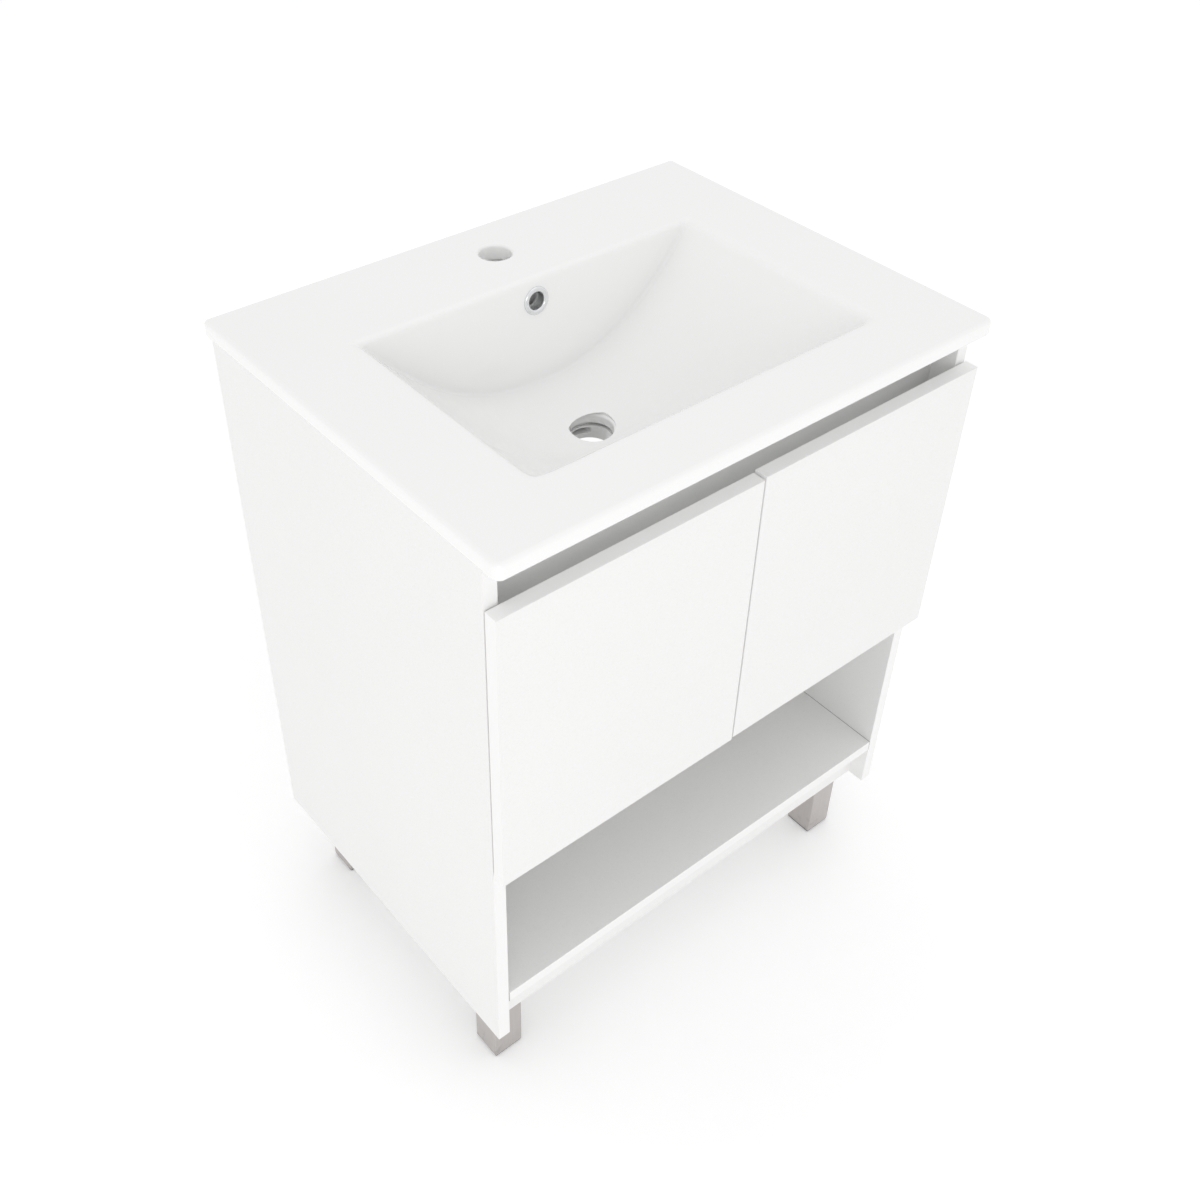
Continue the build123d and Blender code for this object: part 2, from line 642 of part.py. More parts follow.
for name, (front, low, high, open_side) in STANDING.items():
    board = cut(cross_board(front, front + BOARD, low, high), board_cuts[name])
    if name == "rear_top_rail":
        for side in (-1, 1):
            start = (side * WALL_HOLE_SPACING / 2, front - 1, (low + high) / 2)
            board -= rod(start, (0, 1, 0), BOARD + 2, WALL_HOLE_RADIUS)
    save(name, board)

save("cam_housings", join(cams))
save("cam_bolts", join(cam_bolts))
save("wood_dowels", join(dowels))

for name, (x, y) in LEG_PLACES.items():
    save(name, leg(x, y))
plates = []
for x, y in LEG_PLACES.values():
    plate = tube_block(x, y, LEG_SIZE, LEG_TOP, SHELF_UNDER)
    for sx, sy in leg_screw_places(x, y):
        plate -= screw_hole((sx, sy, LEG_TOP - SCREW_HEAD), (0, 0, 1))
    plates.append(plate)
save("leg_plates", join(plates))
save("leg_screws", join([screw(place, (0, 0, 1)) for place in shelf_screws]))
save("leg_glides", join([glide(x, y) for x, y in LEG_PLACES.values()]))

plate_screws = []
for label, hinge in hinges.items():
    save(f"{label}_door", hinge.door())
    save(f"{label}_door_bumpers", hinge.bumpers())
    save(f"{label}_hinge_cups", hinge.grouped(hinge.cup))
    save(f"{label}_cup_screws", join([s for z in hinge.levels for s in hinge.cup_screws(z, screw)]))
    save(f"{label}_cup_pins", hinge.grouped(hinge.cup_pin))
    save(f"{label}_hinge_plates", hinge.grouped(hinge.plate))
    save(f"{label}_hinge_arms", hinge.grouped(hinge.arm))
    save(f"{label}_arm_screws", hinge.grouped(hinge.arm_screw))
    save(f"{label}_arm_pins", hinge.grouped(hinge.arm_pin))
    save(f"{label}_hinge_links", hinge.grouped(hinge.link))
    plate_screws += [s for z in hinge.levels for s in hinge.plate_screws(z, screw)]
save("plate_screws", join(plate_screws))
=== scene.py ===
import json
import math

import bpy
import numpy as np
from mathutils import Euler, Matrix, Vector

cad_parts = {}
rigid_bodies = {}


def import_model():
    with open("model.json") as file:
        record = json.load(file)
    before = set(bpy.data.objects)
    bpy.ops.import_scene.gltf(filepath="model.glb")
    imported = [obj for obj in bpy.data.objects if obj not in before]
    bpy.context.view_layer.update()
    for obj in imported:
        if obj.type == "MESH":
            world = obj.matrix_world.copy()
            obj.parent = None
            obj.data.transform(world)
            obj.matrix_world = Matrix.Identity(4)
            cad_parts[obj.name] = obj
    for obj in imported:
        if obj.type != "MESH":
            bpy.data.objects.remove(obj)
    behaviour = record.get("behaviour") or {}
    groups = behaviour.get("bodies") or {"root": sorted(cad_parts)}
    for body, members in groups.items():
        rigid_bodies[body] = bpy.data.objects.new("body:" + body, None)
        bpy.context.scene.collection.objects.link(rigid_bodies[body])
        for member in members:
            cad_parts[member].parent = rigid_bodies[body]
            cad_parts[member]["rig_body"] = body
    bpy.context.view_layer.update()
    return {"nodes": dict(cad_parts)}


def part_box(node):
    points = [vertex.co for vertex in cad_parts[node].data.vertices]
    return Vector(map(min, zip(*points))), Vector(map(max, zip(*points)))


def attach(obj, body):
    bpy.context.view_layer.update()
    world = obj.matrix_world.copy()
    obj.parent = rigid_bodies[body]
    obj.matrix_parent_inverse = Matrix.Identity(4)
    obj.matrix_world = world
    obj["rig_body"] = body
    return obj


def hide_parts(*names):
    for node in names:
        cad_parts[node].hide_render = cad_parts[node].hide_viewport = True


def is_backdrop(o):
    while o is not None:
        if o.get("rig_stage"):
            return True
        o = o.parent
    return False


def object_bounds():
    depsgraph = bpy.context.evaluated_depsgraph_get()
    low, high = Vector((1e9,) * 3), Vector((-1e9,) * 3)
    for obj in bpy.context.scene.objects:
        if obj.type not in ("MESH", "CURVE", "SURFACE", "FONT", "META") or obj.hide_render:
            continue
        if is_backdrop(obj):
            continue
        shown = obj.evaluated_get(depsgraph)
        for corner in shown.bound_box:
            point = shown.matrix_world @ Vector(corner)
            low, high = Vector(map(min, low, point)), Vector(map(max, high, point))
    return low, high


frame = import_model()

# Bathroom vanity cabinet: glazed basin, laminate boards, brushed legs and concealed hinges.
# Metres, +X to the right, +Y to the wall, +Z up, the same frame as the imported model.

nodes = frame["nodes"]
MM = 0.001

# ---------------------------------------------------------------- shader maths


class Value:
    """A socket of one finish, with arithmetic that adds Math nodes."""

    def __init__(self, finish, socket):
        self.finish = finish
        self.socket = socket

    def maths(self, operation, *values):
        return self.finish.add("ShaderNodeMath", {"operation": operation}, list(values))

    def __add__(self, other):
        return self.maths("ADD", self, other)

    def __radd__(self, other):
        return self.maths("ADD", other, self)

    def __sub__(self, other):
        return self.maths("SUBTRACT", self, other)

    def __rsub__(self, other):
        return self.maths("SUBTRACT", other, self)

    def __mul__(self, other):
        return self.maths("MULTIPLY", self, other)

    def __rmul__(self, other):
        return self.maths("MULTIPLY", other, self)

    def __lt__(self, other):
        return self.maths("LESS_THAN", self, other)

    def __abs__(self):
        return self.maths("ABSOLUTE", self)

    def soft_step(self, start, end):
        """0 below start, 1 above end, and a smooth ramp between them."""
        settings = {"interpolation_type": "SMOOTHSTEP"}
        return self.finish.add("ShaderNodeMapRange", settings, [self, start, end, 0.0, 1.0])


class Finish:
    """A material with one Principled shader, whose constants are set on its own sockets."""

    def __init__(self, name, **constants):
        self.material = bpy.data.materials.new(name)
        self.material.use_nodes = True
        self.tree = self.material.node_tree
        self.shader = self.tree.nodes["Principled BSDF"]
        for socket, value in constants.items():
            self.shader.inputs[socket.replace("_", " ")].default_value = value
        place = self.tree.nodes.new("ShaderNodeTexCoord")
        self.place = Value(self, place.outputs["Object"])
        self.facing = Value(self, place.outputs["Normal"])

    def add(self, kind, settings=None, sockets=(), out=0):
        """Any other node: its settings first, then its sockets' values or links."""
        node = self.tree.nodes.new(kind)
        for key, value in (settings or {}).items():
            setattr(node, key, value)
        pairs = sockets.items() if isinstance(sockets, dict) else enumerate(sockets)
        for key, value in pairs:
            if isinstance(value, Value):
                self.tree.links.new(value.socket, node.inputs[key])
            else:
                node.inputs[key].default_value = value
        return Value(self, node.outputs[out])

    def along(self, axis, vector=None):
        """One of a vector's three numbers."""
        return self.add("ShaderNodeSeparateXYZ", None, [vector or self.place], out=axis)

    def stretched(self, scale):
        """Object coordinates with a scale of their own along each axis."""
        return self.add("ShaderNodeMapping", None, {"Vector": self.place, "Scale": scale})

    def noise(self, scale, detail=2.0, roughness=0.5, vector=None):
        """Cloudy noise, with scale blots to the metre."""
        sockets = {"Vector": vector or self.place, "Scale": scale, "Detail": detail, "Roughness": roughness}
        return self.add("ShaderNodeTexNoise", None, sockets)

    def pebbles(self, scale):
        """Rounded cells, as pressed into melamine."""
        settings = {"feature": "SMOOTH_F1"}
        return self.add("ShaderNodeTexVoronoi", settings, {"Vector": self.place, "Scale": scale})

    def mix(self, share, first, second):
        """A colour between two colours."""
        settings = {"data_type": "RGBA"}
        sockets = {"Factor": share, 6: first, 7: second}
        return self.add("ShaderNodeMix", settings, sockets, out=2)

    def bump(self, height, distance, strength=1.0):
        sockets = {"Strength": strength, "Distance": distance, "Height": height}
        return self.add("ShaderNodeBump", None, sockets)

    def feed(self, **values):
        """Links values to the shader's sockets of the same names."""
        for socket, value in values.items():
            self.tree.links.new(value.socket, self.shader.inputs[socket.replace("_", " ")])
        return self


def rgb(red, green, blue):
    """An opaque colour."""
    return (red, green, blue, 1.0)


# ---------------------------------------------------------------- finishes


def glaze():
    """Fired white glaze: a glossy coat with slow waviness, faint tone clouds and rare pinholes."""
    finish = Finish("glaze", Coat_Weight=0.35, Coat_Roughness=0.03, IOR=1.52)
    cloud = finish.noise(5.0, 3.0)
    colour = finish.mix(cloud, rgb(0.932, 0.932, 0.926), rgb(0.948, 0.948, 0.943))
    pin = finish.noise(420.0, 1.0).soft_step(0.80, 0.86)
    colour = finish.mix(pin * 0.16, colour, rgb(0.52, 0.50, 0.47))
    rough = 0.13 + 0.06 * finish.noise(38.0, 3.0)
    wave = finish.noise(24.0, 2.0) + 0.10 * finish.noise(210.0, 2.0)
    normal = finish.bump(wave, 0.0005, 0.32)
    return finish.feed(Base_Color=colour, Roughness=rough, Normal=normal)


BAND_LINE = 0.55 * MM
# how far inside the joint the painted shade at a board's ends starts, and where it is full
JOINT_SHADE_START = 1.1 * MM
JOINT_SHADE_FULL = 0.5 * MM


def laminate(name, axis, low, high, band_low, band_high, seam_at):
    """White melamine board, pebbled on its faces across axis, with smooth glued bands on its edges.

    band_low and band_high say how strongly the bands' glue lines show along the two faces.
    seam_at is the distance from the middle at which the board meets the side panels, or None; there a
    painted shade darkens the board's ends, standing in for the shadow in the gap to the panel.
    """
    finish = Finish(name, IOR=1.48)
    edge = abs(finish.along(axis, finish.facing)) < 0.5
    across = finish.along(axis)
    near_low = 1.0 - (across - low).soft_step(BAND_LINE, 1.6 * BAND_LINE)
    near_high = 1.0 - (high - across).soft_step(BAND_LINE, 1.6 * BAND_LINE)
    joint = edge * (near_low * band_low + near_high * band_high)
    cloud = finish.noise(7.0, 4.0)
    colour = finish.mix(cloud, rgb(0.888, 0.888, 0.881), rgb(0.908, 0.908, 0.902))
    grain = finish.pebbles(640.0)
    colour = finish.mix((1.0 - edge) * grain.soft_step(0.35, 0.75) * 0.16, colour, rgb(0.76, 0.76, 0.75))
    # edge faces a lighter white: partly the edge band's own colour, partly painted light that lifts the
    # shade in the narrow door gaps and brightens the edges as if front-lit
    colour = finish.mix(edge * 0.7, colour, rgb(0.945, 0.945, 0.940))
    colour = finish.mix(joint * 0.6, colour, rgb(0.93, 0.885, 0.87))
    if seam_at:
        # painted shade: a dark line at each end of the board, standing in for the shadow in the gap to the
        # side panel
        painted_joint_shade = abs(finish.along(0)).soft_step(seam_at - JOINT_SHADE_START, seam_at - JOINT_SHADE_FULL)
        colour = finish.mix(painted_joint_shade * 0.8, colour, rgb(0.22, 0.215, 0.20))
    rough = 0.44 - 0.10 * edge + 0.10 * finish.noise(160.0, 2.0)
    height = (1.0 - edge) * (grain + 0.6 * finish.noise(1500.0, 2.0)) + 0.12 * finish.noise(55.0, 2.0)
    normal = finish.bump(height, 0.00013, 0.55)
    return finish.feed(Base_Color=colour, Roughness=rough, Normal=normal)


def brushed_leg():
    """Warm grey lacquered steel, brushed along the tube, with scuffs towards its foot."""
    finish = Finish("brushed_leg", Coat_Weight=0.15, Coat_Roughness=0.22)
    strokes = finish.noise(1.0, 4.0, 0.6, finish.stretched((1300.0, 1300.0, 16.0)))
    broad = finish.noise(1.0, 2.0, 0.5, finish.stretched((160.0, 160.0, 5.0)))
    foot = 1.0 - finish.along(2).soft_step(0.004, 0.045)
    scuff = foot * finish.noise(95.0, 4.0).soft_step(0.55, 0.72)
    colour = finish.mix(strokes, rgb(0.455, 0.428, 0.417), rgb(0.590, 0.560, 0.545))
    colour = finish.mix(scuff * 0.45, colour, rgb(0.30, 0.285, 0.275))
    rough = 0.30 + 0.16 * strokes + 0.08 * broad + 0.12 * scuff
    metal = 0.78 - 0.25 * scuff
    normal = finish.bump(strokes + 0.3 * broad, 0.00006, 0.5)
    return finish.feed(Base_Color=colour, Roughness=rough, Metallic=metal, Normal=normal)


def plated(name, light, dark, rough, stroke=(420.0, 420.0, 420.0), bump=0.00003):
    """Plated or bare metal with fine working marks and slow tarnish."""
    finish = Finish(name)
    marks = finish.noise(1.0, 4.0, 0.6, finish.stretched(stroke))
    tarnish = finish.noise(45.0, 3.0)
    colour = finish.mix(tarnish, dark, light)
    roughness = rough + 0.10 * marks + 0.06 * tarnish
    metal = 1.0 - 0.06 * tarnish
    normal = finish.bump(marks, bump, 0.4)
    return finish.feed(Base_Color=colour, Roughness=roughness, Metallic=metal, Normal=normal)


def beech_dowel():
    """Pale turned beech, its grain and short flecks along the dowel."""
    finish = Finish("beech_dowel", IOR=1.45)
    grain = finish.noise(1.0, 4.0, 0.6, finish.stretched((45.0, 900.0, 900.0)))
    fleck = finish.noise(1.0, 2.0, 0.5, finish.stretched((320.0, 1800.0, 1800.0))).soft_step(0.60, 0.72)
    colour = finish.mix(grain, rgb(0.47, 0.30, 0.165), rgb(0.66, 0.47, 0.29))
    colour = finish.mix(fleck * 0.4, colour, rgb(0.33, 0.19, 0.10))
    rough = 0.58 + 0.15 * grain
    return finish.feed(Base_Color=colour, Roughness=rough, Normal=finish.bump(grain, 0.0001, 0.5))


def moulded(name, light, dark, rough, scale=900.0, **constants):
    """Moulded plastic or rubber with a fine matt grain."""
    finish = Finish(name, **constants)
    grain = finish.noise(scale, 3.0)
    colour = finish.mix(finish.noise(30.0, 3.0), dark, light)
    roughness = rough + 0.12 * grain
    return finish.feed(Base_Color=colour, Roughness=roughness, Normal=finish.bump(grain, 0.00006, 0.5))


def thickness_axis(node):
    """The board's thin direction, and where its two faces are along it."""
    low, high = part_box(node)
    size = high - low
    axis = min(range(3), key=lambda i: size[i])
    return axis, low[axis], high[axis]


def dress(node, finish):
    """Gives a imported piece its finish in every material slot."""
    mesh = nodes[node].data
    mesh.materials.clear()
    mesh.materials.append(finish.material)


# ---------------------------------------------------------------- modelling helpers


def only(piece):
    """Selects one piece alone, and makes it active."""
    bpy.ops.object.select_all(action="DESELECT")
    piece.select_set(True)
    bpy.context.view_layer.objects.active = piece


def place(piece, matrix):
    """Puts a finished shape in its place, with the place kept in its mesh."""
    piece.data.transform(matrix)


def tidy_mesh(piece, gap=1e-6):
    """Merges doubled points and turns every face outwards."""
    only(piece)
    bpy.ops.object.mode_set(mode="EDIT")
    bpy.ops.mesh.select_all(action="SELECT")
    bpy.ops.mesh.remove_doubles(threshold=gap)
    bpy.ops.mesh.normals_make_consistent(inside=False)
    bpy.ops.object.mode_set(mode="OBJECT")


def smooth(piece, degrees):
    """Smooth shading, apart from edges sharper than degrees."""
    only(piece)
    bpy.ops.object.shade_smooth_by_angle(angle=math.radians(degrees))


def in_mm(profile):
    """A profile given in millimetres, in metres."""
    return [(radius * MM, height * MM) for radius, height in profile]


def turned(name, profile, sides, ring=False):
    """A turned shape about Z through (radius, height) points: capped, or a ring whose ends meet."""
    radius, height = profile[0]
    fill = "NOTHING" if ring else "NGON"
    bpy.ops.object.select_all(action="DESELECT")
    start = (0, 0, height)
    bpy.ops.mesh.primitive_circle_add(vertices=sides, radius=radius, fill_type=fill, location=start)
    piece = bpy.context.object
    piece.name = name
    bpy.ops.object.transform_apply(location=True)
    bpy.ops.object.mode_set(mode="EDIT")
    bpy.ops.mesh.select_all(action="SELECT")
    steps = profile[1:] + (profile[:1] if ring else [])
    extrude = bpy.ops.mesh.extrude_edges_move if ring else bpy.ops.mesh.extrude_region_move
    for next_radius, next_height in steps:
        extrude(TRANSFORM_OT_translate={"value": (0, 0, next_height - height)})
        share = next_radius / radius
        bpy.ops.transform.resize(value=(share, share, 1), center_override=(0, 0, next_height))
        radius, height = next_radius, next_height
    bpy.ops.object.mode_set(mode="OBJECT")
    tidy_mesh(piece)
    return piece


def rounded_block(name, low, high, radius, segments=3):
    """A block between two corners with eased edges."""
    low = Vector(low)
    high = Vector(high)
    bpy.ops.object.select_all(action="DESELECT")
    bpy.ops.mesh.primitive_cube_add(size=1, location=(low + high) / 2)
    piece = bpy.context.object
    piece.name = name
    piece.scale = high - low
    bpy.ops.object.transform_apply(location=True, scale=True)
    bpy.ops.object.mode_set(mode="EDIT")
    bpy.ops.mesh.select_all(action="SELECT")
    bpy.ops.mesh.bevel(offset=radius, segments=segments, affect="EDGES")
    bpy.ops.object.mode_set(mode="OBJECT")
    return piece


def combine(piece, other, operation):
    """Adds other to piece, or takes it away, and drops other."""
    only(piece)
    modifier = piece.modifiers.new("combine", "BOOLEAN")
    modifier.operation = operation
    modifier.solver = "EXACT"
    modifier.object = other
    bpy.ops.object.modifier_apply(modifier=modifier.name)
    bpy.data.objects.remove(other)


def facing_matrix(centre, out):
    """Turns +Z to the direction out, at centre."""
    turn = Vector(out).to_track_quat("Z", "Y").to_matrix().to_4x4()
    return Matrix.Translation(centre) @ turn


# ---------------------------------------------------------------- the glazed basin

basin_low, basin_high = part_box("basin_top")
TOP = basin_high.z
DECK = 17.0 * MM
BOWL_HALF = 213.5 * MM
BOWL_FRONT = basin_low.y + 73.0 * MM
BOWL_BACK = basin_high.y - 127.5 * MM
DEEPEST = 136.0 * MM
CREASE = 118.0 * MM
TILT = math.radians(5.0)
CREASE_Y = BOWL_BACK - CREASE * math.tan(TILT)
DRAIN_Y = CREASE_Y - 85.0 * MM
FLOOR_FRONT = DRAIN_Y - 26.0 * MM
WALL = 11.0 * MM
EDGE = 4.5 * MM
UNDER_EDGE = 1.5 * MM
FRONT_CORNER = 8.0 * MM
BACK_CORNER = 5.1 * MM
CORNERS = ((basin_low.y + FRONT_CORNER, -1, FRONT_CORNER), (basin_high.y - BACK_CORNER, 1, BACK_CORNER))
FLAT_SIDE = 250.0 * MM
TAP_RADIUS = 17.5 * MM
TAP_BACK = 61.0 * MM
DRAIN_RADIUS = 23 * MM
BOSS_RADIUS = 36 * MM
BOSS_DROP = 16 * MM
DUCT_HALF = 27 * MM
FOOT_HALF = 26.5 * MM
OVERFLOW_DROP = 26.5 * MM
OVERFLOW_BORE = 11.2 * MM
WALL_POINTS = 90
FLOOR_POINTS = 420
MIDDLE_ROWS = 170


def bowl_depth(x, y, wall):
    """Depth of the scoop under the deck, or of the ceramic's underside, negative past its rim."""
    deepest = DEEPEST + wall
    half = BOWL_HALF + wall
    fall = (DEEPEST - CREASE) / (CREASE_Y - FLOOR_FRONT)
    floor = deepest - np.maximum(y - FLOOR_FRONT, 0) * fall
    front = (np.maximum(FLOOR_FRONT - y, 0) / (FLOOR_FRONT - BOWL_FRONT + wall)) ** 1.9
    side = np.abs(x / half) ** 2.3
    level = np.minimum((side**4 + front**4) ** 0.25, 1)
    boxy = 4 + 10 * level**3
    arch = floor * (1 - (side**boxy + front**boxy) ** (1 / boxy))
    past_side = 1.6 * (half - np.abs(x))
    return -soft_max(-arch, -past_side, 3 * MM)


def soft_max(a, b, reach):
    """The larger of two values, rounded over where they come within reach of each other."""
    near = np.maximum(reach - np.abs(a - b), 0) / reach
    return np.maximum(a, b) + near**2 * reach / 4


def hollow(x, y, h, wall, deck, rim, crease):
    """Above zero in the open space over the surface, below zero in the ceramic."""
    step = 0.2 * MM
    slope_x = (bowl_depth(x + step, y, wall) - bowl_depth(x - step, y, wall)) / (2 * step)
    slope_y = (bowl_depth(x, y + step, wall) - bowl_depth(x, y - step, wall)) / (2 * step)
    floor = (h + bowl_depth(x, y, wall)) / np.sqrt(1 + slope_x**2 + slope_y**2)
    back = (BOWL_BACK + wall + h * math.tan(TILT) - y) * math.cos(TILT)
    bowl = -soft_max(-floor, -back, crease)
    return soft_max(h + deck, bowl, rim)


def section(x, y_start, y_end, rows, wall, deck, rim, crease):
    """Points across the basin from back to front at each x, closer together where the surface bends."""
    x = x[:, None]
    # where the back wall meets the floor
    drop = np.full(x.shape, CREASE + wall)
    for _ in range(12):
        drop = np.clip(bowl_depth(x, BOWL_BACK + wall - drop * math.tan(TILT), wall), deck, None)
    back = BOWL_BACK + wall - deck * math.tan(TILT)
    t = np.linspace(0, 1, WALL_POINTS)[None, :]
    ones = np.ones_like(x)
    deck_back = np.stack([y_start + (back - y_start) * t * ones, -deck * ones * np.ones_like(t)], -1)
    h = -deck - (drop - deck) * t
    wall_run = np.stack([BOWL_BACK + wall + h * math.tan(TILT), h], -1)
    t = np.linspace(0, 1, FLOOR_POINTS)[None, :]
    y = wall_run[:, -1:, 0] + (y_end - wall_run[:, -1:, 0]) * t
    floor_run = np.stack([y, np.minimum(-bowl_depth(x, y, wall), -deck)], -1)
    line = np.concatenate([deck_back, wall_run[:, 1:], floor_run[:, 1:]], 1)
    y, h = line[..., 0], line[..., 1]
    # each point moves square to the surface until it lies on its rounded form
    tiny = 0.02 * MM
    for _ in range(14):
        value = hollow(x, y, h, wall, deck, rim, crease)
        grow_y = (hollow(x, y + tiny, h, wall, deck, rim, crease) - value) / tiny
        grow_h = (hollow(x, y, h + tiny, wall, deck, rim, crease) - value) / tiny
        push = value / np.maximum(grow_y**2 + grow_h**2, 0.2)
        y, h = y - 0.9 * push * grow_y, h - 0.9 * push * grow_h
    y[:, 0], y[:, -1] = y_start, y_end
    # rows are spaced by length and by bend, and shorter sections keep theirs by the back rim
    run_y, run_h = np.diff(y, axis=1), np.diff(h, axis=1)
    run = np.hypot(run_y, run_h)
    turn = np.zeros_like(run)
    heading = np.unwrap(np.arctan2(run_h, run_y + 1e-9), axis=1)
    turn[:, 1:] = np.abs(np.diff(heading, axis=1)) * (run[:, 1:] > 5e-6) * (run[:, :-1] > 5e-6)
    weight = run / (7 * MM) + np.minimum(turn, 0.6) / math.radians(6.0)
    middle = (y[:, 1:] + y[:, :-1]) / 2
    bunch = np.exp(-(((middle - back + 8 * MM) / (12 * MM)) ** 2)) * run + 1e-12
    bunch = bunch / bunch.sum(1, keepdims=True)
    missing = weight.sum(1).max() - weight.sum(1)
    weight = weight + missing[:, None] * bunch
    total = np.concatenate([np.zeros_like(x), np.cumsum(weight, 1)], 1)
    out = np.empty((x.shape[0], rows, 2))
    for i in range(x.shape[0]):
        steps = np.linspace(0, total[i, -1], rows)
        out[i, :, 0] = np.interp(steps, total[i], y[i])
        out[i, :, 1] = np.interp(steps, total[i], h[i])
    return out


def spaced(*stops):
    """Steps from stop to stop: (start, end, spacing) runs joined end to end."""
    values = [stops[0][0]]
    for start, end, spacing in stops:
        count = max(1, round(abs(end - start) / spacing))
        values += [start + (end - start) * (i + 1) / count for i in range(count)]
    return np.array(values) * MM


def sheet(name, inset, wall, deck, rim, crease):
    """A grid laid over the basin inside its edge, formed to the deck and the scoop."""
    side = basin_high.x - inset
    back = basin_high.y - inset
    front = basin_low.y + inset
    inner_front = basin_low.y + FRONT_CORNER
    inner_back = basin_high.y - BACK_CORNER
    corner_x = (basin_high.x - FRONT_CORNER) / MM
    back_x = (basin_high.x - BACK_CORNER) / MM
    runs = ((0, 180, 7.5), (180, 196, 4), (196, 232, 1.8), (232, corner_x, 8), (corner_x, back_x, 0.8))
    half = spaced(*runs)
    half = np.concatenate([half, np.linspace(back_x * MM, side, 4)[1:]])
    x = np.concatenate([-half[:0:-1], half])
    path = section(x, inner_back, inner_front, MIDDLE_ROWS, wall, deck, rim, crease)
    # the same rows on the flat sides of both sheets, so that their borders meet point to point
    flat = np.abs(x) > FLAT_SIDE
    path[flat, :, 0] = np.linspace(inner_back, inner_front, MIDDLE_ROWS)
    path[flat, :, 1] = -deck
    at_back = np.linspace(back, inner_back, 4)[:-1]
    at_front = np.linspace(inner_front, front, 8)[1:]
    flat_back = np.stack([np.tile(at_back, (len(x), 1)), np.full((len(x), 3), -deck)], -1)
    flat_front = np.stack([np.tile(at_front, (len(x), 1)), np.full((len(x), 7), -deck)], -1)
    path = np.concatenate([flat_back, path, flat_front], 1)
    y, h = path[..., 0], path[..., 1]
    rank = np.abs(np.arange(len(x)) - len(half) + 1)[:, None]
    x = np.tile(x[:, None], (1, y.shape[1]))
    # columns past a corner's start are counted, so that both sheets' corners meet point to point too
    for inner_y, sign, corner in CORNERS:
        reach = corner - inset
        first = np.argmin(np.abs(half - (basin_high.x - corner)))
        a = (rank - first) / (len(half) - 1 - first) * np.ones_like(y)
        b = sign * (y - inner_y) / reach
        inside = (a > 0) & (b > 1e-6)
        far = np.maximum(a, b)
        share = np.where(inside, far / np.maximum(np.hypot(a, b), 1e-9), 1.0)
        x = np.where(inside, np.sign(x) * (basin_high.x - corner + a * share * reach), x)
        y = np.where(inside, inner_y + sign * b * share * reach, y)
    columns, rows = y.shape
    bpy.ops.object.select_all(action="DESELECT")
    bpy.ops.mesh.primitive_grid_add(x_subdivisions=columns - 1, y_subdivisions=rows - 1, size=1)
    piece = bpy.context.object
    piece.name = name
    grid = np.empty(columns * rows * 3)
    piece.data.vertices.foreach_get("co", grid)
    grid = grid.reshape(-1, 3)
    column = np.rint((grid[:, 0] + 0.5) * (columns - 1)).astype(int)
    row = np.rint((0.5 - grid[:, 1]) * (rows - 1)).astype(int)
    formed = np.stack([x[column, row], y[column, row], TOP + h[column, row]], 1)
    piece.data.vertices.foreach_set("co", formed.ravel())
    piece.data.update()
    return piece


def outward(x, y):
    """The direction square to the deck's outline, in plan, at a point near the outline."""
    for inner_y, sign, corner in CORNERS:
        a = abs(x) - (basin_high.x - corner)
        b = sign * (y - inner_y)
        if a > 1e-7 and b > 1e-7:
            length = math.hypot(a, b)
            return math.copysign(a / length, x), sign * b / length
    to_side = basin_high.x - abs(x)
    to_front = y - basin_low.y
    to_back = basin_high.y - y
    if to_side <= min(to_front, to_back):
        return math.copysign(1.0, x), 0.0
    return 0.0, -1.0 if to_front < to_back else 1.0


def skirt(piece):
    """Extrudes the sheet's border over the rounded edge and down to the deck's underside."""
    steps = []
    for i in range(1, 8):
        angle = math.radians(90 * i / 7)
        steps.append((EDGE * math.sin(angle) - EDGE, -EDGE * (1 - math.cos(angle))))
    steps.append((0, -DECK / 2))
    steps.append((0, UNDER_EDGE - DECK))
    for i in range(1, 4):
        angle = math.radians(90 * i / 3)
        inwards = UNDER_EDGE * (1 - math.cos(angle))
        steps.append((-inwards, -DECK + UNDER_EDGE - UNDER_EDGE * math.sin(angle)))
    only(piece)
    bpy.ops.object.mode_set(mode="EDIT")
    bpy.ops.mesh.select_mode(type="EDGE")
    bpy.ops.mesh.select_all(action="DESELECT")
    bpy.ops.mesh.select_non_manifold()
    before = -EDGE
    for offset, height in steps:
        bpy.ops.mesh.extrude_edges_move(TRANSFORM_OT_translate={"value": (0, 0, 0)})
        bpy.ops.object.mode_set(mode="OBJECT")
        for vertex in piece.data.vertices:
            if vertex.select:
                nx, ny = outward(vertex.co.x, vertex.co.y)
                vertex.co.x += nx * (offset - before)
                vertex.co.y += ny * (offset - before)
                vertex.co.z = TOP + height
        before = offset
        bpy.ops.object.mode_set(mode="EDIT")
    bpy.ops.object.mode_set(mode="OBJECT")


def hole_cutter(name, radius, depth, ease):
    """A plug that cuts a round hole downwards from Z = 0 and eases its rim."""
    profile = [(radius, -depth)]
    for i in range(9):
        angle = math.radians(84 * i / 8)
        profile.append((radius + ease * (1 - math.cos(angle)), -ease * (1 - math.sin(angle))))
    profile.append((radius + ease * 1.02, 3 * MM))
    return turned(name, profile, 72)


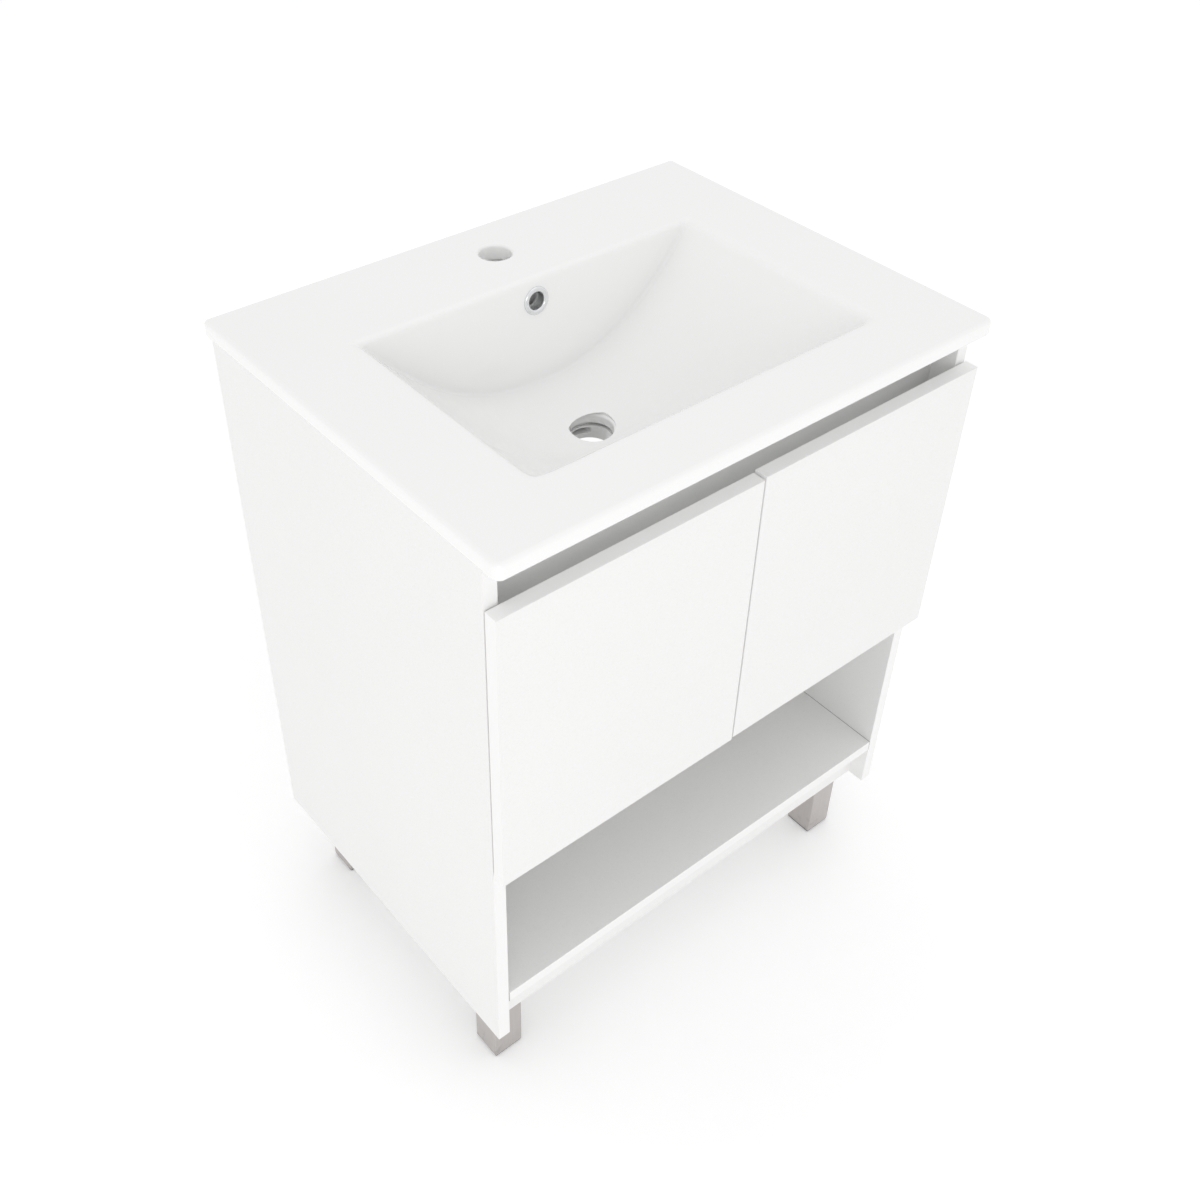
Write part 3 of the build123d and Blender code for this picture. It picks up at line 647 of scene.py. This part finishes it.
def glazed_basin():
    """The whole casting: deck, scoop, drain boss, overflow duct and holes, as one closed body."""
    upper = sheet("glazed_basin", EDGE, 0.0, 0.0, 7 * MM, 4 * MM)
    lower = sheet("basin_underside", UNDER_EDGE, WALL, DECK, 10 * MM, 14 * MM)
    skirt(upper)
    only(lower)
    bpy.ops.object.mode_set(mode="EDIT")
    bpy.ops.mesh.select_all(action="SELECT")
    bpy.ops.mesh.flip_normals()
    bpy.ops.object.mode_set(mode="OBJECT")
    lower.select_set(True)
    upper.select_set(True)
    bpy.context.view_layer.objects.active = upper
    bpy.ops.object.join()
    tidy_mesh(upper, 0.03 * MM)

    # drain boss and overflow duct, outside
    drain_top = TOP - float(bowl_depth(np.array(0.0), np.array(DRAIN_Y), 0.0))
    boss_under = TOP - DEEPEST - WALL - BOSS_DROP
    boss_height = drain_top - 6 * MM - boss_under
    profile = [(34.5 * MM, 0), (35.6 * MM, 0.4 * MM), (BOSS_RADIUS, 1.5 * MM), (BOSS_RADIUS, boss_height)]
    boss = turned("boss", profile, 72)
    place(boss, Matrix.Translation((0, DRAIN_Y, boss_under)))
    combine(upper, boss, "UNION")
    duct_back = BOWL_BACK + 2 * WALL + 10 * MM
    duct_low = (-DUCT_HALF, BOWL_BACK + 0.4 * MM, boss_under + 0.7 * MM)
    duct = rounded_block("duct", duct_low, (DUCT_HALF, duct_back, TOP - DECK + 3 * MM), 4 * MM)
    combine(upper, duct, "UNION")
    foot_low = (-FOOT_HALF, DRAIN_Y, boss_under + 1.1 * MM)
    foot_high = (FOOT_HALF, BOWL_BACK + 8 * MM, drain_top - 12 * MM)
    foot = rounded_block("duct_foot", foot_low, foot_high, 3 * MM)
    combine(upper, foot, "UNION")

    # tap hole, drain hole and overflow hole
    tap = hole_cutter("tap_cut", TAP_RADIUS, 40 * MM, 3.6 * MM)
    place(tap, Matrix.Translation((0, basin_high.y - TAP_BACK, TOP)))
    combine(upper, tap, "DIFFERENCE")
    drain = hole_cutter("drain_cut", DRAIN_RADIUS, 80 * MM, 2.8 * MM)
    fall = (DEEPEST - CREASE) / (CREASE_Y - FLOOR_FRONT)
    lean = Matrix.Rotation(0.35 * math.atan(fall), 4, "X")
    place(drain, Matrix.Translation((0, DRAIN_Y, drain_top - 1.2 * MM)) @ lean)
    combine(upper, drain, "DIFFERENCE")
    outlet = [(20, -15.6), (20, -11.2), (29.5, -11.2), (29.5, -20), (26.5, -20), (26.5, -15.6)]
    slot = turned("outlet_cut", in_mm(outlet), 72, ring=True)
    place(slot, Matrix.Translation((0, DRAIN_Y, drain_top)))
    combine(upper, slot, "DIFFERENCE")
    centre, out = overflow_place()
    bore = turned("overflow_cut", [(OVERFLOW_BORE, -19 * MM), (OVERFLOW_BORE, 12 * MM)], 48)
    place(bore, facing_matrix(centre, out))
    combine(upper, bore, "DIFFERENCE")
    # the channel from the overflow down to the drain
    bore_y = BOWL_BACK + WALL
    low = (-16 * MM, bore_y, boss_under + 6 * MM)
    down = rounded_block("down_bore", low, (16 * MM, bore_y + 10 * MM, TOP - DECK - 2 * MM), 2 * MM)
    combine(upper, down, "DIFFERENCE")
    low = (-15.6 * MM, DRAIN_Y, boss_under + 6.4 * MM)
    cross = rounded_block("cross_bore", low, (15.6 * MM, bore_y + 5 * MM, boss_under + 13.6 * MM), 2 * MM)
    combine(upper, cross, "DIFFERENCE")
    tidy_mesh(upper, 0.005 * MM)
    smooth(upper, 32)
    return upper


def overflow_place():
    """Centre of the overflow on the bowl's back wall, and the way that it faces."""
    centre = Vector((0, BOWL_BACK - OVERFLOW_DROP * math.tan(TILT), TOP - OVERFLOW_DROP))
    return centre, Vector((0, -math.cos(TILT), math.sin(TILT)))


def overflow_trim():
    """A pressed chrome ring: a domed lip on the glaze and a rolled throat into the hole."""
    profile = [(15.4, 0.05), (15.4, 0.5), (15.15, 1.25), (14.6, 1.9), (13.8, 2.35), (12.7, 2.55)]
    profile += [(11.6, 2.45), (10.6, 2.05), (9.9, 1.4), (9.5, 0.5), (9.4, -0.6), (9.4, -9)]
    profile += [(11.05, -9), (11.05, 0.05)]
    ring = turned("overflow_trim", in_mm(profile), 72, ring=True)
    centre, out = overflow_place()
    place(ring, facing_matrix(centre, out))
    smooth(ring, 40)
    return ring


# ---------------------------------------------------------------- cross-head screws

SCREW_NODES = [
    "plate_screws", "leg_screws", "left_cup_screws", "right_cup_screws",
    "left_arm_screws", "right_arm_screws",
]


def screw_lines(node):
    """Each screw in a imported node: the middle of its head's top, the way out of it, and its length."""
    sorting = bpy.data.objects.new("sorting", nodes[node].data.copy())
    bpy.context.scene.collection.objects.link(sorting)
    only(sorting)
    bpy.ops.object.mode_set(mode="EDIT")
    bpy.ops.mesh.select_all(action="SELECT")
    bpy.ops.mesh.remove_doubles(threshold=1e-6)
    bpy.ops.mesh.separate(type="LOOSE")
    bpy.ops.object.mode_set(mode="OBJECT")
    found = []
    for part in list(bpy.context.selected_objects):
        points = np.array([vertex.co for vertex in part.data.vertices])
        low, high = points.min(0), points.max(0)
        middle = (low + high) / 2
        axis = int(np.argmax(high - low))
        reach = np.linalg.norm(np.delete(points - middle, axis, 1), axis=1)
        head = (points[reach > 0.9 * reach.max(), axis]).mean() - middle[axis]
        out = np.zeros(3)
        out[axis] = math.copysign(1.0, head)
        top = middle + out * (high - low)[axis] / 2
        found.append((Vector(top), Vector(out), float((high - low)[axis])))
        bpy.data.objects.remove(part)
    return sorted(found, key=lambda screw: tuple(round(value, 4) for value in screw[0]))


def cross_head_screw(length):
    """A pan-head screw pointing down from Z = 0, with a cross recess, rolled ridges and a point."""
    profile = [(0.8, 0.0), (2.1, -0.06), (2.9, -0.32), (3.3, -0.75), (3.4, -1.25)]
    profile += [(3.3, -1.6), (1.75, -1.6)]
    depth = 2.4
    pitch = 0.9
    while depth < length / MM - 2.6:
        profile += [(1.78, -depth), (1.45, -depth - 0.35)]
        depth += pitch
    profile += [(1.5, -length / MM + 2.2), (0.25, -length / MM)]
    screw = turned("screw", in_mm(profile), 28)
    low, high = (-1.75 * MM, -0.36 * MM, -1.05 * MM), (1.75 * MM, 0.36 * MM, 0.5 * MM)
    for turn in (0.0, math.pi / 2):
        blade = rounded_block("blade", low, high, 0.14 * MM, 2)
        place(blade, Matrix.Rotation(turn, 4, "Z"))
        combine(screw, blade, "DIFFERENCE")
    return screw


def driven_screws(node):
    """All of a node's screws as one piece, each turned to its own angle."""
    masters = {}
    copies = []
    for i, (top, out, length) in enumerate(screw_lines(node)):
        key = round(length, 4)
        if key not in masters:
            masters[key] = cross_head_screw(length)
        copy = bpy.data.objects.new("copy", masters[key].data.copy())
        bpy.context.scene.collection.objects.link(copy)
        place(copy, facing_matrix(top, out) @ Matrix.Rotation(0.35 + 1.9 * i, 4, "Z"))
        copies.append(copy)
    for master in masters.values():
        bpy.data.objects.remove(master)
    only(copies[0])
    for copy in copies:
        copy.select_set(True)
    bpy.ops.object.join()
    copies[0].name = f"{node}_cross_head"
    smooth(copies[0], 38)
    return copies[0]


# ---------------------------------------------------------------- pieces and finishes

white = glaze()
chrome = plated("chrome", rgb(0.86, 0.87, 0.88), rgb(0.78, 0.79, 0.80), 0.05, (90.0, 90.0, 90.0), 0.00001)
nickel = plated("nickel", rgb(0.70, 0.68, 0.65), rgb(0.58, 0.565, 0.54), 0.20)
zinc = plated("zinc", rgb(0.62, 0.63, 0.65), rgb(0.50, 0.51, 0.53), 0.34, (700.0, 700.0, 700.0), 0.00005)
leg_metal = brushed_leg()
beech = beech_dowel()
glide = moulded("glide_plastic", rgb(0.055, 0.052, 0.052), rgb(0.038, 0.036, 0.036), 0.42)
silicone = moulded(
    "silicone", rgb(0.80, 0.80, 0.79), rgb(0.72, 0.72, 0.71), 0.30, 300.0, Transmission_Weight=0.15,
)
bumper = moulded(
    "bumper_gel", rgb(0.72, 0.72, 0.70), rgb(0.64, 0.64, 0.62), 0.18, 200.0, Transmission_Weight=0.35,
)

pieces = [(glazed_basin(), "basin_top", white), (overflow_trim(), "overflow_ring", chrome)]
for node in SCREW_NODES:
    pieces.append((driven_screws(node), node, nickel))
for piece, node, finish in pieces:
    piece.data.materials.clear()
    piece.data.materials.append(finish.material)
    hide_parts(node)
    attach(piece, nodes[node]["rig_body"])

BOARDS = [
    "left_side_panel", "right_side_panel", "deck_panel", "bottom_shelf", "top_front_rail", "rear_top_rail",
    "niche_back_panel", "front_plinth_rail", "rear_plinth_rail", "left_door", "right_door",
]
for board in BOARDS:
    axis, low, high = thickness_axis(board)
    door = board.endswith("door")
    between = board in ("deck_panel", "bottom_shelf")
    seam_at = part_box(board)[1].x if between else None
    finish = laminate(f"laminate_{board}", axis, low, high, 0.35 if door else 0.7, 1.0, seam_at)
    dress(board, finish)

BY_NAME = {
    "basin_top": white, "overflow_ring": chrome, "basin_silicone": silicone, "wood_dowels": beech,
    "cam_housings": zinc, "cam_bolts": zinc, "leg_plates": zinc, "leg_glides": glide,
}
BY_ENDING = {
    "leg": leg_metal, "bumpers": bumper, "screws": nickel, "pins": nickel, "cups": nickel, "plates": nickel,
    "arms": nickel, "links": nickel,
}
for node in nodes:
    if node not in BOARDS:
        dress(node, BY_NAME.get(node) or BY_ENDING[node.split("_")[-1]])

# ---------------------------------------------------------------- floor, light and camera


def pale_floor():
    """A wide pale floor, a little brighter than its light makes it."""
    bpy.ops.object.select_all(action="DESELECT")
    bpy.ops.mesh.primitive_plane_add(size=60)
    floor = bpy.context.object
    floor.name = "studio_floor"
    finish = Finish("studio_floor", Roughness=0.9)
    finish.shader.inputs["Specular IOR Level"].default_value = 0.1
    finish.shader.inputs["Emission Color"].default_value = rgb(1.0, 1.0, 1.0)
    finish.shader.inputs["Emission Strength"].default_value = 0.15
    tone = finish.mix(finish.noise(1.5, 2.0), rgb(0.95, 0.95, 0.95), rgb(0.97, 0.97, 0.97))
    finish.feed(Base_Color=tone)
    floor.data.materials.append(finish.material)
    floor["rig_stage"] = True


def soft_light(name, location, aim, size, power):
    """A white softbox at location, facing aim."""
    data = bpy.data.lights.new(name, "AREA")
    data.shape = "RECTANGLE"
    data.size, data.size_y = size
    data.energy = power
    lamp = bpy.data.objects.new(name, data)
    bpy.context.scene.collection.objects.link(lamp)
    lamp.location = location
    toward = Vector(aim) - Vector(location)
    lamp.rotation_euler = toward.to_track_quat("-Z", "Y").to_euler()


pale_floor()
world = bpy.data.worlds.new("studio")
world.use_nodes = True
sky = world.node_tree.nodes["Background"]
sky.inputs["Color"].default_value = rgb(1.0, 1.0, 1.0)
sky.inputs["Strength"].default_value = 0.89
bpy.context.scene.world = world
soft_light("front_left_softbox", (-1.15, -1.45, 1.2), (-0.1, 0, 0.45), (0.8, 0.8), 2.7)
soft_light("overhead_softbox", (0.6, -0.3, 3.2), (0, 0, 0.6), (2.4, 2.0), 2.5)
bpy.context.scene.view_settings.view_transform = "Standard"

lens = bpy.data.cameras.new("camera")
lens.sensor_width = 36.0
lens.lens = 41.02
lens.shift_x = 0.015
lens.shift_y = -0.032
lens.clip_start = 0.01
camera = bpy.data.objects.new("camera", lens)
camera.location = (-0.7691, -0.8782, 1.4716)
camera.rotation_euler = Euler([math.radians(a) for a in (49.994, -1.064, -39.601)], "XYZ")
bpy.context.scene.collection.objects.link(camera)
bpy.context.scene.camera = camera

low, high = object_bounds()
